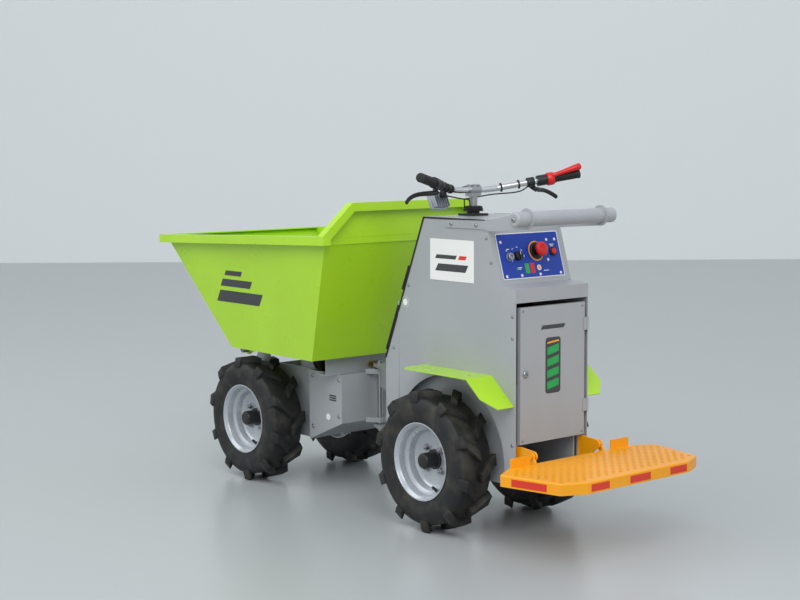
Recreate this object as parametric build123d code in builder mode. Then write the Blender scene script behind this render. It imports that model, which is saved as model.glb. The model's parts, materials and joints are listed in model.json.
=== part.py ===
"""Compact battery dumper: articulated four-wheel-drive chassis, tipping skip, ride-on platform.

X points forward, Y to the machine's left, Z up, with the ground at Z 0, in millimetres.
Each axle has a local frame: x is measured forward from that axle and z from the ground.
"""

import os

from build123d import *

os.makedirs("parts", exist_ok=True)

# Driving dimensions
wheelbase = 1120
rear_x = -400
front_x = rear_x + wheelbase
hinge = 603
axle_z = 254
wheel_y = 240
sheet = 3
plate = 6

# Rear body
body_half = 178
inner_half = body_half - sheet
body_top = 1112
tub_half = 140
tub_floor = 192
deck_z = 552
arch_radius = 296

# Articulation pin and its two pairs of lugs
pin_radius = 10
pin_gap = 0.1

# Tipping gear, in the front axle's frame
tip_pivot = (95, 525)
tip_tube_radius = 14
base_eye = (-270, 262)
skip_eye = (-75, 528)

# Ride-on platform
fold_pivot = (-415, 318)
platform_top = 301
platform_depth = 39

# Steering column
column = 57
bar_z = 1208


def side(axle_x, y=0):
    """Plane along the machine at Y = y: local x forward from the axle, local y up."""
    return Plane(origin=(axle_x, y, 0), x_dir=(1, 0, 0), z_dir=(0, -1, 0))


def across(axle_x, x):
    """Plane across the machine, facing forward: local x to the left, local y up."""
    return Plane(origin=(axle_x + x, 0, 0), x_dir=(0, 1, 0), z_dir=(1, 0, 0))


def level(axle_x, z):
    """Horizontal plane: local x forward from the axle, local y to the left."""
    return Plane(origin=(axle_x, 0, z), x_dir=(1, 0, 0), z_dir=(0, 0, 1))


def save(builder, name):
    builder.part.label = name
    export_step(builder.part, f"parts/{name}.step")


# Rear chassis: a welded tub between the wheels, a full-width deck over them, a bulkhead at each end
# and the two hinge plates that hold the articulation pin.
tub_front = 345
tub_rear = -330
tub_mid = (tub_front + tub_rear) / 2
recess = (245, 342)
with BuildPart() as rear_chassis:
    with BuildSketch(level(rear_x, tub_floor)):
        with Locations((tub_mid, 0)):
            Rectangle(tub_front - tub_rear, 2 * tub_half)
    extrude(amount=deck_z - tub_floor)
    with BuildSketch(level(rear_x, tub_floor + plate)):
        with Locations((tub_mid, 0)):
            Rectangle(tub_front - tub_rear - 2 * plate, 2 * (tub_half - plate))
    extrude(amount=deck_z, mode=Mode.SUBTRACT)
    with BuildSketch(level(rear_x, deck_z - plate)):
        with Locations((tub_mid, 0)):
            Rectangle(tub_front - tub_rear, 2 * inner_half)
    extrude(amount=plate)
    for x in (tub_rear, tub_front - plate):
        with BuildSketch(across(rear_x, x)):
            with Locations((0, (tub_floor + 20 + deck_z) / 2)):
                Rectangle(2 * inner_half, deck_z - tub_floor - 20)
        extrude(amount=plate)
    with BuildSketch(across(rear_x, tub_rear - 1)):
        with Locations((0, sum(recess) / 2)):
            Rectangle(2 * 150, recess[1] - recess[0])
    extrude(amount=plate + 2, mode=Mode.SUBTRACT)
    with BuildSketch(side(rear_x)):
        with Locations((0, axle_z)):
            Circle(33)
    extrude(amount=tub_half + 1, both=True, mode=Mode.SUBTRACT)
    with BuildSketch(level(rear_x, 425)):
        with BuildLine():
            Polyline((340, -92), (430, -92), (560, -34), (560, 34), (430, 92), (340, 92), close=True)
        make_face()
    extrude(amount=75)
    with BuildSketch(level(rear_x, 424)):
        with BuildLine():
            Polyline((345, -86), (429, -86), (554, -30), (554, 30), (429, 86), (345, 86), close=True)
        make_face()
    extrude(amount=75, mode=Mode.SUBTRACT)
    for z in (498, 256):
        with BuildSketch(level(rear_x, z)):
            with BuildLine():
                Polyline((340, -92), (430, -92), (hinge, -26), (hinge, 26), (430, 92), (340, 92), close=True)
            make_face()
            with Locations((hinge, 0)):
                Circle(26)
                Circle(pin_radius, mode=Mode.SUBTRACT)
        extrude(amount=12)
save(rear_chassis, "rear_chassis")

with BuildPart() as hinge_pin:
    for z, radius, height in ((240, pin_radius, 284), (510, 16, 8), (248, 16, 8)):
        with BuildSketch(level(rear_x, z)):
            with Locations((hinge, 0)):
                Circle(radius)
        extrude(amount=height)
save(hinge_pin, "hinge_pin")

# Side panels, cut out round the rear wheels
side_outline = [(129, body_top), (-196, body_top), (-209, 1081), (-266, 892), (-349, 884),
                (-349, 211), (305, 211), (347, 330), (347, 580)]
for label, y in (("side_panel_left", body_half), ("side_panel_right", -inner_half)):
    with BuildPart() as side_panel:
        with BuildSketch(side(rear_x, y)):
            with BuildLine():
                Polyline(*side_outline, close=True)
            make_face()
            with Locations((0, axle_z)):
                Circle(arch_radius, mode=Mode.SUBTRACT)
        extrude(amount=sheet)
    save(side_panel, label)

with BuildPart() as front_panel:
    with BuildSketch(side(rear_x)):
        with BuildLine():
            Polyline((129, body_top), (347, 580), (347, deck_z), (344, deck_z), (344, 579), (126, body_top),
                     close=True)
        make_face()
    extrude(amount=inner_half, both=True)
save(front_panel, "front_panel")

with BuildPart() as top_cover:
    with BuildSketch(level(rear_x, body_top)):
        with Locations(((129 - 196) / 2, 0)):
            Rectangle(129 + 196, 2 * body_half)
    extrude(amount=sheet)
save(top_cover, "top_cover")

# Console: one folded sheet from the top cover down to the slot above the battery door
with BuildPart() as console:
    with BuildSketch(side(rear_x)):
        with BuildLine():
            Polyline((-196, body_top), (-209, 1081), (-266, 892), (-349, 884), (-349, 836),
                     (-346, 836), (-346, 881.3), (-263.6, 889.2), (-206, 1080.4), (-193, body_top), close=True)
        make_face()
    extrude(amount=inner_half, both=True)
save(console, "console")

# The console's label plate and the controls that stand on it
console_foot = Vector(rear_x - 266, 0, 892)
console_up = (Vector(rear_x - 209, 0, 1081) - console_foot).normalized()
console_face = Plane(origin=console_foot, x_dir=(0, -1, 0), z_dir=Vector(0, -1, 0).cross(console_up))
console_length = (Vector(rear_x - 209, 0, 1081) - console_foot).length
with BuildPart() as console_label:
    with BuildSketch(console_face):
        with Locations((0, console_length / 2)):
            RectangleRounded(296, 158, 4)
    extrude(amount=1.5)
save(console_label, "console_label")

with BuildPart() as console_controls:
    # across, up, radius, height
    for u, v, radius, height in ((-88, 112, 17, 14), (-52, 112, 21, 12), (30, 112, 30, 9), (30, 112, 12, 24),
                                 (110, 118, 20, 9)):
        with BuildSketch(console_face.offset(1.5)):
            with Locations((u, v)):
                Circle(radius)
        extrude(amount=height)
save(console_controls, "console_controls")

with BuildPart() as stop_button:
    with BuildSketch(console_face.offset(25.5)):
        with Locations((30, 112)):
            Circle(27)
    extrude(amount=18)
    fillet(stop_button.faces().sort_by(SortBy.DISTANCE).last.edges(), 8)
save(stop_button, "stop_button")

# Battery door: a folded pan hinged on its right-hand edge
door_half = 158
door_hinge = (-356, -170)
with BuildPart() as battery_door:
    with BuildSketch(across(rear_x, -352)):
        with Locations((0, (347 + 820) / 2)):
            Rectangle(2 * door_half, 820 - 347)
    extrude(amount=16)
    with BuildSketch(across(rear_x, -350)):
        with Locations((0, (347 + 820) / 2)):
            Rectangle(2 * door_half - 5, 820 - 347 - 5)
    extrude(amount=18, mode=Mode.SUBTRACT)
    for z in (430, 720):
        with BuildSketch(level(rear_x, z)):
            with Locations(door_hinge):
                Circle(5)
            with Locations((-353.5, -161)):
                Rectangle(4, 20)
        extrude(amount=45)
save(battery_door, "battery_door")

with BuildPart() as battery_pack:
    with BuildSketch(level(rear_x, deck_z)):
        with Locations((-90, 0)):
            RectangleRounded(440, 310, 8)
    extrude(amount=230)
save(battery_pack, "battery_pack")


# Axles: a housing with a differential bulge, and a stub for each wheel
axle_section = [(0, 0), (-236, 0), (-236, 14.8), (-205, 14.8), (-205, 46), (-194, 46), (-194, 32), (-86, 32),
                (-52, 54), (52, 54), (86, 32), (194, 32), (194, 46), (205, 46), (205, 14.8), (236, 14.8),
                (236, 0)]
for label, x in (("rear_axle", rear_x), ("front_axle", front_x)):
    with BuildPart() as axle:
        with BuildSketch(Plane(origin=(x, 0, axle_z), x_dir=(0, 1, 0), z_dir=(1, 0, 0))):
            with BuildLine():
                Polyline(*axle_section, close=True)
            make_face()
        revolve(axis=Axis((x, 0, axle_z), (0, 1, 0)))
    save(axle, label)

# Mudguards: a flat sheet over the wheel with a sloped tail and cut-off outer corners
guard_outer = 299
for label, sign in (("mudguard_left", 1), ("mudguard_right", -1)):
    with BuildPart() as mudguard:
        with BuildSketch(side(rear_x)):
            with BuildLine():
                Polyline((125, 577), (-231, 577), (-343, 481), (-341, 478.4), (-230, 573.6), (125, 573.6),
                         close=True)
            make_face()
        extrude(amount=-sign * guard_outer)
        with BuildSketch(level(rear_x, 400)):
            with BuildLine():
                Polyline((-400, 0), (-400, sign * 250), (-343, sign * 250), (-300, sign * guard_outer),
                         (95, sign * guard_outer), (125, sign * 268), (200, sign * 268), (200, 0), close=True)
            make_face()
        extrude(amount=300, mode=Mode.INTERSECT)
        with BuildSketch(level(rear_x, 400)):
            with Locations((0, sign * body_half / 2)):
                Rectangle(1000, body_half)
        extrude(amount=300, mode=Mode.SUBTRACT)
    save(mudguard, label)

# Grab bar across the back, carried by a folded bracket on each side panel
bar_x = -402
bar_height = 1125
with BuildPart() as bar_brackets:
    for y in (body_half + 4, -body_half):
        with BuildSketch(side(rear_x, y)):
            with BuildLine():
                Polyline((6, 1082), (-196, 1082), (-215, 1076), (bar_x, 1090), (bar_x, 1150), (-215, 1112),
                         (-15, 1109), (6, 1098), close=True)
            make_face()
            with Locations((bar_x, bar_height)):
                Circle(36)
                Circle(26.1, mode=Mode.SUBTRACT)
        extrude(amount=4)
save(bar_brackets, "bar_brackets")

with BuildPart() as grab_bar:
    with BuildSketch(side(rear_x)):
        with Locations((bar_x, bar_height)):
            Circle(26)
    extrude(amount=241, both=True)
    fillet(grab_bar.edges().filter_by(GeomType.CIRCLE), 8)
save(grab_bar, "grab_bar")

# Steering column and handlebar
with BuildPart() as column_mount:
    with BuildSketch(level(rear_x, body_top + sheet)):
        with Locations((column, 0)):
            RectangleRounded(84, 84, 10)
    extrude(amount=8)
    with BuildSketch(level(rear_x, body_top + sheet + 8)):
        with Locations((column, 0)):
            Circle(24)
    extrude(amount=8, taper=10)
save(column_mount, "column_mount")

with BuildPart() as steering_stem:
    with BuildSketch(level(rear_x, 1131.5)):
        with Locations((column, 0)):
            Circle(15)
    extrude(amount=62)
    with BuildSketch(side(rear_x)):
        with Locations((column, bar_z)):
            Circle(20)
            Circle(11, mode=Mode.SUBTRACT)
        with Locations((column, 1192)):
            Rectangle(34, 14)
            with Locations((0, 16)):
                Circle(11, mode=Mode.SUBTRACT)
    extrude(amount=24, both=True)
save(steering_stem, "steering_stem")

# The handlebar runs level through the clamp and sweeps up and back to the grips.
bar_radius = 11
grip_tip = Vector(rear_x - 99, 385, 1262)
bar_bend = Vector(rear_x + 54, 105, bar_z + 3)
grip_way = (grip_tip - bar_bend).normalized()
with BuildPart() as handlebar:
    with BuildLine() as bar_path:
        FilletPolyline((grip_tip.X, 385, grip_tip.Z), (bar_bend.X, 105, bar_bend.Z), (rear_x + column, 60, bar_z),
                       (rear_x + column, -60, bar_z), (bar_bend.X, -105, bar_bend.Z),
                       (grip_tip.X, -385, grip_tip.Z), radius=45)
    with BuildSketch(Plane(bar_path.line @ 0, z_dir=bar_path.line % 0)):
        Circle(bar_radius)
    sweep()
save(handlebar, "handlebar")


def on_bar(distance, sign):
    """Plane square to the handlebar, that far in from the tip of its grip, facing the tip."""
    point = grip_tip - grip_way * distance
    return Plane(origin=(point.X, sign * point.Y, point.Z), x_dir=(0, 0, 1),
                 z_dir=(grip_way.X, sign * grip_way.Y, grip_way.Z))


with BuildPart() as grips:
    for sign in (1, -1):
        with BuildSketch(on_bar(118, sign)):
            Circle(16)
            Circle(bar_radius, mode=Mode.SUBTRACT)
        extrude(amount=118)
        with BuildSketch(on_bar(0, sign)):
            Circle(16)
        extrude(amount=6)
save(grips, "grips")

with BuildPart() as switch_housings:
    for sign in (1, -1):
        with BuildSketch(on_bar(160, sign)):
            Circle(20)
            Circle(bar_radius, mode=Mode.SUBTRACT)
        extrude(amount=36)
save(switch_housings, "switch_housings")

# Brake levers: a perch clamp on the bar and a blade that follows the grip in front of it
with BuildPart() as brake_levers:
    for sign in (1, -1):
        with BuildSketch(on_bar(200, sign)):
            Circle(17)
            Circle(bar_radius, mode=Mode.SUBTRACT)
        extrude(amount=28)
        start = on_bar(190, sign).origin
        tip = on_bar(20, sign).origin
        with BuildLine() as blade:
            FilletPolyline((start.X + 14, start.Y, start.Z - 12), (start.X + 50, start.Y + sign * 10, start.Z - 24),
                           (tip.X + 58, tip.Y, tip.Z - 58), radius=12)
        with BuildSketch(Plane(blade.line @ 0, z_dir=blade.line % 0)):
            Rectangle(9, 14)
        sweep()
save(brake_levers, "brake_levers")

with BuildPart() as tip_lever:
    root = on_bar(150, -1).origin
    with BuildLine() as lever_path:
        Line((root.X, root.Y, root.Z + 31), (rear_x - 118, -378, 1306))
    with BuildSketch(Plane(lever_path.line @ 0, z_dir=lever_path.line % 0)):
        Circle(7)
    sweep()
    with Locations((root.X, root.Y, root.Z + 31)):
        Sphere(10)
save(tip_lever, "tip_lever")

with BuildPart() as work_lamp:
    with BuildSketch(Plane(origin=(rear_x + 60, 150, 1180), x_dir=(0, 1, 0), z_dir=(0.9, 0, -0.43))):
        RectangleRounded(74, 60, 8)
    extrude(amount=34)
    with Locations((rear_x + 50, 150, 1201)):
        Box(50, 12, 18)
    add(handlebar.part, mode=Mode.SUBTRACT)
save(work_lamp, "work_lamp")

# Ride-on platform: a pressed deck with a turned-down rim and two toe guards at its front edge
platform_outline = [(-440, 300), (-440, -300), (-490, -386), (-717, -336), (-757, -250), (-757, 250),
                    (-717, 336), (-490, 386)]
fold_x, fold_z = fold_pivot
with BuildPart() as platform:
    with BuildSketch(level(rear_x, platform_top - platform_depth)) as deck_plan:
        with BuildLine():
            Polyline(*platform_outline, close=True)
        make_face()
    extrude(amount=platform_depth)
    fillet(platform.edges().filter_by(Axis.Z), 12)
    fillet(platform.faces().sort_by(Axis.Z).last.edges(), 5)
    with BuildSketch(level(rear_x, platform_top - platform_depth)):
        with BuildLine():
            Polyline(*platform_outline, close=True)
        make_face()
        offset(amount=-4, mode=Mode.REPLACE)
    extrude(amount=platform_depth - 4, mode=Mode.SUBTRACT)
    for sign in (1, -1):
        with BuildSketch(across(rear_x, -440)):
            with Locations((sign * 245, 312)):
                Rectangle(92, 40)
        extrude(amount=-4)
        with BuildSketch(side(rear_x, sign * 168 + 4)):
            with BuildLine():
                Polyline((-441, 268), (-441, 299), (fold_x, fold_z + 16), (fold_x, fold_z - 16), close=True)
            make_face()
            with Locations((fold_x, fold_z)):
                Circle(16)
                Circle(8.1, mode=Mode.SUBTRACT)
        extrude(amount=8)
save(platform, "platform")

# The platform's brackets are bolted to the rear bulkhead on both sides of the recess.
with BuildPart() as platform_brackets:
    for sign in (1, -1):
        with BuildSketch(side(rear_x, sign * 156 + 4)):
            with BuildLine():
                Polyline((tub_rear, 250), (tub_rear, 338), (-352, 341), (fold_x, fold_z + 17), (fold_x, fold_z - 17),
                         (-360, 255), close=True)
            make_face()
            with Locations((fold_x, fold_z)):
                Circle(17)
        extrude(amount=8)
        with BuildSketch(across(rear_x, tub_rear)):
            with Locations((sign * 162, 294)):
                Rectangle(24, 88)
        extrude(amount=-4)
        with BuildSketch(side(rear_x, sign * 158)):
            with Locations((fold_x, fold_z)):
                Circle(8)
        extrude(amount=-sign * 19)
        with BuildSketch(side(rear_x, sign * 173)):
            with Locations((fold_x, fold_z)):
                Circle(12)
        extrude(amount=-sign * 4)
save(platform_brackets, "platform_brackets")

# Front chassis: box behind the wheels, narrow tub between them, arms up to the tipping tube
tip_x, tip_z = tip_pivot
box_half = 170
front_rear = -488
with BuildPart() as front_chassis:
    with BuildSketch(side(front_x)):
        with BuildLine():
            Polyline((front_rear, 476), (front_rear, 284), (-270, tub_floor), (210, tub_floor), (210, 430),
                     (130, 470), (-275, 476), close=True)
        make_face()
    extrude(amount=tub_half, both=True)
    with BuildSketch(side(front_x)):
        with BuildLine():
            Polyline((front_rear, 476), (front_rear, 284), (-275, 194), (-275, 476), close=True)
        make_face()
    extrude(amount=box_half, both=True)
    with BuildSketch(side(front_x)):
        with BuildLine():
            Polyline((front_rear + plate, 600), (front_rear + plate, 289), (-268, tub_floor + plate),
                     (204, tub_floor + plate), (204, 600), close=True)
        make_face()
    extrude(amount=tub_half - plate, both=True, mode=Mode.SUBTRACT)
    with BuildSketch(side(front_x)):
        with BuildLine():
            Polyline((front_rear + plate, 600), (front_rear + plate, 289), (-281, 202), (-281, 600), close=True)
        make_face()
    extrude(amount=box_half - plate, both=True, mode=Mode.SUBTRACT)
    with BuildSketch(side(front_x)):
        with Locations((0, axle_z)):
            Circle(33)
    extrude(amount=tub_half + 1, both=True, mode=Mode.SUBTRACT)
    # Cover over the rear box, arms and tipping tube
    with BuildSketch(level(front_x, 470)):
        with Locations((front_rear + 40, 0)):
            Rectangle(80, 2 * box_half)
    extrude(amount=plate)
    for y in (tub_half, plate - tub_half):
        with BuildSketch(side(front_x, y)):
            with BuildLine():
                Polyline((10, 460), (160, 440), (tip_x + 24, tip_z), (tip_x - 24, tip_z), close=True)
            make_face()
            with Locations(tip_pivot):
                Circle(24)
        extrude(amount=plate)
    with BuildSketch(side(front_x)):
        with Locations(tip_pivot):
            Circle(tip_tube_radius)
    extrude(amount=240, both=True)
    # Hinge lugs on the pin
    for z in (470, 276):
        with BuildSketch(level(rear_x, z)):
            with BuildLine():
                Polyline((hinge, -24), (634, -50), (634, 50), (hinge, 24), close=True)
            make_face()
            with Locations((hinge, 0)):
                Circle(24)
                Circle(pin_radius + pin_gap, mode=Mode.SUBTRACT)
        extrude(amount=20)
    # Eye lugs for the actuator's base
    base_x, base_z = base_eye
    for y in (20, -14):
        with BuildSketch(side(front_x, y)):
            with BuildLine():
                Polyline((base_x - 30, tub_floor + 2), (base_x + 40, tub_floor + 2), (base_x + 16, base_z),
                         (base_x - 16, base_z), close=True)
            make_face()
            with Locations(base_eye):
                Circle(16)
        extrude(amount=6)
    with BuildSketch(side(front_x)):
        with Locations(base_eye):
            Circle(7)
    extrude(amount=18, both=True)
save(front_chassis, "front_chassis")

with BuildPart() as cross_beam:
    with BuildSketch(side(front_x)):
        with BuildLine():
            Polyline((-465, 476.5), (-465, 544), (-415, 544), (-415, 539), (-460, 539), (-460, 481.5),
                     (-415, 481.5), (-415, 476.5), close=True)
        make_face()
    extrude(amount=228, both=True)
save(cross_beam, "cross_beam")

# Skip: planar walls that flare outwards, a folded rim and a raised headboard towards the driver
skip_floor = 550
floor_half = 335
rim_half = 391
rim_drop = 1010
skip_sheet = 4
flare = (rim_half - floor_half) / (rim_drop - skip_floor)
front_lean = 0.911
rear_lean = -0.352
floor_rear, floor_front = -518, 33


def wall_x(foot, lean, z):
    return foot + lean * (z - skip_floor)


def flared(z, inset=0):
    return floor_half + flare * (z - skip_floor) - inset


rear_top = wall_x(floor_rear, rear_lean, rim_drop)
with BuildPart() as skip_outer:
    with BuildSketch(side(front_x)):
        with BuildLine():
            Polyline((floor_rear, skip_floor), (floor_front, skip_floor),
                     (wall_x(floor_front, front_lean, 993), 993), (rear_top - 3, 1034), (rear_top, rim_drop),
                     close=True)
        make_face()
    extrude(amount=450, both=True)
    with BuildSketch(across(front_x, -800)):
        with BuildLine():
            Polyline((-floor_half, skip_floor), (floor_half, skip_floor), (flared(1050), 1050),
                     (-flared(1050), 1050), close=True)
        make_face()
    extrude(amount=1400, mode=Mode.INTERSECT)

with BuildPart() as skip_cavity:
    floor_in = skip_floor + skip_sheet
    with BuildSketch(side(front_x)):
        with BuildLine():
            Polyline((wall_x(floor_rear + 4.3, rear_lean, floor_in), floor_in),
                     (wall_x(floor_front - 5.4, front_lean, floor_in), floor_in),
                     (wall_x(floor_front - 5.4, front_lean, 1100), 1100), (rear_top + 4.3, 1100),
                     (rear_top + 4.3, rim_drop), close=True)
        make_face()
    extrude(amount=450, both=True)
    with BuildSketch(across(front_x, -800)):
        with BuildLine():
            Polyline((-flared(floor_in, 4), floor_in), (flared(floor_in, 4), floor_in),
                     (flared(1100, 4), 1100), (-flared(1100, 4), 1100), close=True)
        make_face()
    extrude(amount=1400, mode=Mode.INTERSECT)

headboard_top = 1160
shoulder = 276
with BuildPart() as skip_shell:
    add(skip_outer.part)
    add(skip_cavity.part, mode=Mode.SUBTRACT)
    with BuildSketch(across(front_x, rear_top - 2)):
        with BuildLine():
            Polyline((-rim_half, rim_drop - 5), (rim_half, rim_drop - 5), (rim_half, 1030),
                     (shoulder - 6, headboard_top - 4), (6 - shoulder, headboard_top - 4), (-rim_half, 1030),
                     close=True)
        make_face()
    extrude(amount=skip_sheet)
save(skip_shell, "skip_shell")

# The rim: a box-section frame round the mouth, and a band of the same section round the headboard
rim_width = 34
rim_outer = rim_half + rim_width
lip_x = 437
rim_rear = rear_top - 36
rim_run = lip_x - rim_rear
rim_slope = Plane(origin=(front_x + rim_rear, 0, 1040), x_dir=(rim_run, 0, -42), z_dir=(42, 0, rim_run))
rim_reach = rim_run / rim_slope.x_dir.X
with BuildPart() as skip_rim:
    with BuildSketch(rim_slope):
        with BuildLine():
            Polyline((0, -rim_outer), (rim_reach, -rim_outer), (rim_reach, rim_outer), (0, rim_outer),
                     (0, rim_half - 1), (rim_reach - rim_width, rim_half - 1),
                     (rim_reach - rim_width, 1 - rim_half), (0, 1 - rim_half), close=True)
        make_face()
    extrude(amount=-33)
    with BuildSketch(across(front_x, rim_rear)):
        with BuildLine():
            Polyline((-rim_outer, 1008), (-rim_outer, 1040), (-shoulder - 10, headboard_top),
                     (shoulder + 10, headboard_top), (rim_outer, 1040), (rim_outer, 1008), (rim_half, 1008),
                     (rim_half, 1026), (shoulder, headboard_top - 32), (-shoulder, headboard_top - 32),
                     (-rim_half, 1026), (-rim_half, 1008), close=True)
        make_face()
    extrude(amount=34)
    add(skip_outer.part, mode=Mode.SUBTRACT)
    add(skip_shell.part, mode=Mode.SUBTRACT)
save(skip_rim, "skip_rim")

# Lugs under the skip: two on the tipping tube and a pair for the actuator's rod
eye_x, eye_z = skip_eye
with BuildPart() as skip_brackets:
    for y in (213, -205):
        with BuildSketch(side(front_x, y)):
            with BuildLine():
                Polyline((-60, skip_floor), (floor_front, skip_floor), (wall_x(floor_front, front_lean, 600), 600),
                         (tip_x + 22, tip_z), (tip_x, tip_z - 22), (tip_x - 16, tip_z - 14), close=True)
            make_face()
            with Locations(tip_pivot):
                Circle(22)
                Circle(tip_tube_radius + pin_gap, mode=Mode.SUBTRACT)
        extrude(amount=8)
    for y in (22, -16):
        with BuildSketch(side(front_x, y)):
            with BuildLine():
                Polyline((eye_x - 50, skip_floor), (eye_x + 70, skip_floor), (eye_x + 28, eye_z - 18),
                         (eye_x - 18, eye_z - 18), close=True)
            make_face()
        extrude(amount=6)
    for y in (28, -22):
        with BuildSketch(side(front_x, y)):
            with Locations(skip_eye):
                Circle(11)
        extrude(amount=6)
save(skip_brackets, "skip_brackets")

# Electric tipping actuator, from its base eye up to the rod's eye under the skip
base_point = Vector(front_x + base_x, 0, base_z)
eye_point = Vector(front_x + eye_x, 0, eye_z)
actuator_way = (eye_point - base_point).normalized()
actuator_length = (eye_point - base_point).length
barrel_length = 268


def on_actuator(distance):
    return Plane(origin=base_point + actuator_way * distance, x_dir=(0, 1, 0), z_dir=actuator_way)


with BuildPart() as actuator_barrel:
    with BuildSketch(on_actuator(18)):
        Rectangle(24, 40)
    extrude(amount=22)
    with BuildSketch(on_actuator(40)):
        SlotCenterToCenter(62, 68, rotation=90)
    extrude(amount=34)
    with BuildSketch(on_actuator(74)):
        Circle(26)
    extrude(amount=barrel_length - 74)
    with BuildSketch(on_actuator(74)):
        with Locations((0, -62)):
            Circle(29)
    extrude(amount=130)
    with BuildSketch(on_actuator(78)):
        Circle(13)
    extrude(amount=barrel_length, mode=Mode.SUBTRACT)
    with BuildSketch(side(front_x)):
        with Locations(base_eye):
            Circle(16)
    extrude(amount=12, both=True)
    with BuildSketch(on_actuator(4)):
        Rectangle(24, 30)
    extrude(amount=18)
    with BuildSketch(side(front_x)):
        with Locations(base_eye):
            Circle(7 + pin_gap)
    extrude(amount=13, both=True, mode=Mode.SUBTRACT)
save(actuator_barrel, "actuator_barrel")

with BuildPart() as actuator_rod:
    with BuildSketch(on_actuator(84)):
        Circle(12)
    extrude(amount=actuator_length - 92)
    with BuildSketch(side(front_x)):
        with Locations(skip_eye):
            Circle(15)
    extrude(amount=11, both=True)
save(actuator_rod, "actuator_rod")


# Wheels. A tyre with chevron lugs and a deep-set disc, built about its own centre and set on each stub.
tyre_radius = 254
lug_count = 10
lug_section = [(-77, 196), (-78, 212), (-70, 240), (-58, tyre_radius), (58, tyre_radius), (70, 240), (78, 212),
               (77, 196)]
carcass_section = [(-59, 127.3), (-64, 141), (-72, 152), (-77, 176), (-76, 204), (-62, 226), (-30, 231), (30, 231),
                   (62, 226), (76, 204), (77, 176), (72, 152), (64, 141), (59, 127.3)]
with BuildPart() as tyre:
    with BuildSketch(Plane.XY.offset(190)) as lug_plan:
        with BuildLine():
            Polyline((-44, -8), (-12, -8), (34, 36), (46, 60), (46, 84), (10, 84), (10, 66), (0, 46), close=True)
        make_face()
    extrude(amount=80)
    lug = tyre.part
    for turn in range(1, lug_count):
        add(lug.rotate(Axis.Y, 360 / lug_count * turn))
    near_side = tyre.part
    add(near_side.mirror(Plane.XZ).rotate(Axis.Y, 180 / lug_count))
    with BuildSketch(Plane.YZ):
        with BuildLine():
            Polyline(*lug_section, close=True)
        make_face()
    revolve(axis=Axis.Y, mode=Mode.INTERSECT)
    with BuildSketch(Plane.YZ):
        with BuildLine():
            Polyline(*carcass_section, close=True)
        make_face()
    revolve(axis=Axis.Y)

rim_section = [(72, 140.5), (66, 140.5), (60, 127), (36, 127), (28, 112), (-28, 112), (-36, 127), (-60, 127),
               (-66, 140.5), (-72, 140.5), (-72, 137), (-68, 137), (-62, 123.5), (-38, 123.5), (-30, 108.5),
               (-5, 108.5), (-5, 36), (-30, 36), (-30, 0), (62, 0), (62, 26), (58, 29), (6, 29), (6, 36), (0, 36),
               (0, 96), (4, 104), (30, 108.5), (38, 123.5), (62, 123.5), (68, 137), (72, 137)]
with BuildPart() as rim:
    with BuildSketch(Plane.YZ):
        with BuildLine():
            Polyline(*rim_section, close=True)
        make_face()
    revolve(axis=Axis.Y)
    with BuildSketch(Plane.XZ.offset(31)):
        Circle(15)
    extrude(amount=-28, mode=Mode.SUBTRACT)
    with BuildSketch(Plane.XZ) as nut_plan:
        with PolarLocations(54, 4, start_angle=45):
            RegularPolygon(11, 6)
    extrude(amount=-12)

for row, x in (("front", front_x), ("rear", rear_x)):
    for hand, sign in (("left", 1), ("right", -1)):
        place = Location((x, sign * wheel_y, axle_z), (0, 0, 0 if sign > 0 else 180))
        for kind, master in (("tyre", tyre), ("rim", rim)):
            piece = master.part.moved(place)
            piece.label = f"{kind}_{row}_{hand}"
            export_step(piece, f"parts/{piece.label}.step")
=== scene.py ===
import json
from math import cos, hypot, pi, radians, sin

import bmesh
import bpy
from mathutils import Matrix, Vector


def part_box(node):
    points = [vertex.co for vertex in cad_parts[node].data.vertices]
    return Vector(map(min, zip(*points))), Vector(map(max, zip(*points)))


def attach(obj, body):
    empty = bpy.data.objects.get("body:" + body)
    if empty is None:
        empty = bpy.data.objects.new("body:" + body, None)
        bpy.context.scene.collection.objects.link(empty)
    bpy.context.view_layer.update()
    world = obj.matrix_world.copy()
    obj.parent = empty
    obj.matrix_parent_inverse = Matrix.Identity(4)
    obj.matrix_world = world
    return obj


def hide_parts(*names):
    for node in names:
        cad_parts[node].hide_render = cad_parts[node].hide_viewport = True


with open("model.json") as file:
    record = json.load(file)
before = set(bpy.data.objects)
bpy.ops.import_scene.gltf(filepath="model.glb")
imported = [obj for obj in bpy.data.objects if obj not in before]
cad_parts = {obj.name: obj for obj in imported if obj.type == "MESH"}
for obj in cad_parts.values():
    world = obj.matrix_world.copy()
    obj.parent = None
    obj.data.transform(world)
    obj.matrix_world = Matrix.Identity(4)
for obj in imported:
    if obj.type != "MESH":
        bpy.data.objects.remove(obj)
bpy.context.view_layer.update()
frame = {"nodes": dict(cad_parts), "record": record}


def span(node):
    low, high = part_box(node)
    return Vector(low), Vector(high)


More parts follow.
